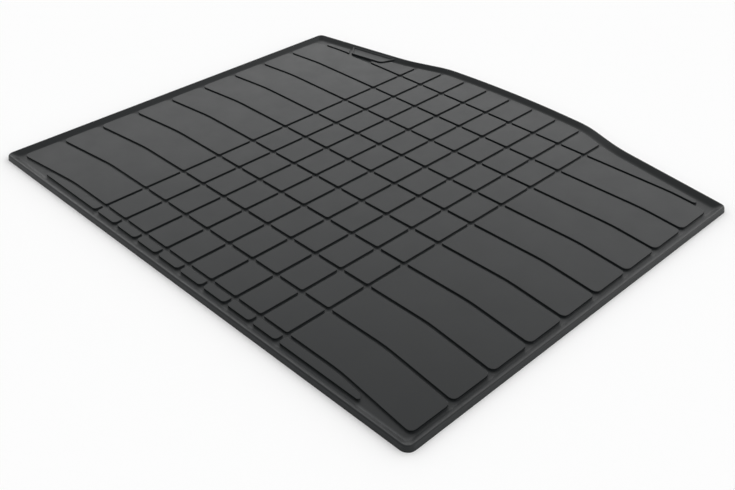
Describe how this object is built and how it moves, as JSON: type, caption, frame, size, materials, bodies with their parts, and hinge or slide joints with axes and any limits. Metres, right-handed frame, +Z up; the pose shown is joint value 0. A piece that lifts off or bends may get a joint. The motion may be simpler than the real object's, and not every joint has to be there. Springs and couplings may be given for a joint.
{
  "type": "car boot liner",
  "caption": "Moulded rubber car boot liner: low tray with a raised rim, grooved panels and a bulged far edge.",
  "frame": {"origin": "on the ground plane under the middle of the tray's bounding box", "axes": "+X to the tray's right along its width, +Y to the bulged far edge, +Z up out of the tray"},
  "size_m": [1.006, 0.852, 0.009],
  "materials": {
    "rubber": "satin"
  },
  "bodies": {
    "root": {"boot_liner": "rubber"}
  },
  "joints": []
}
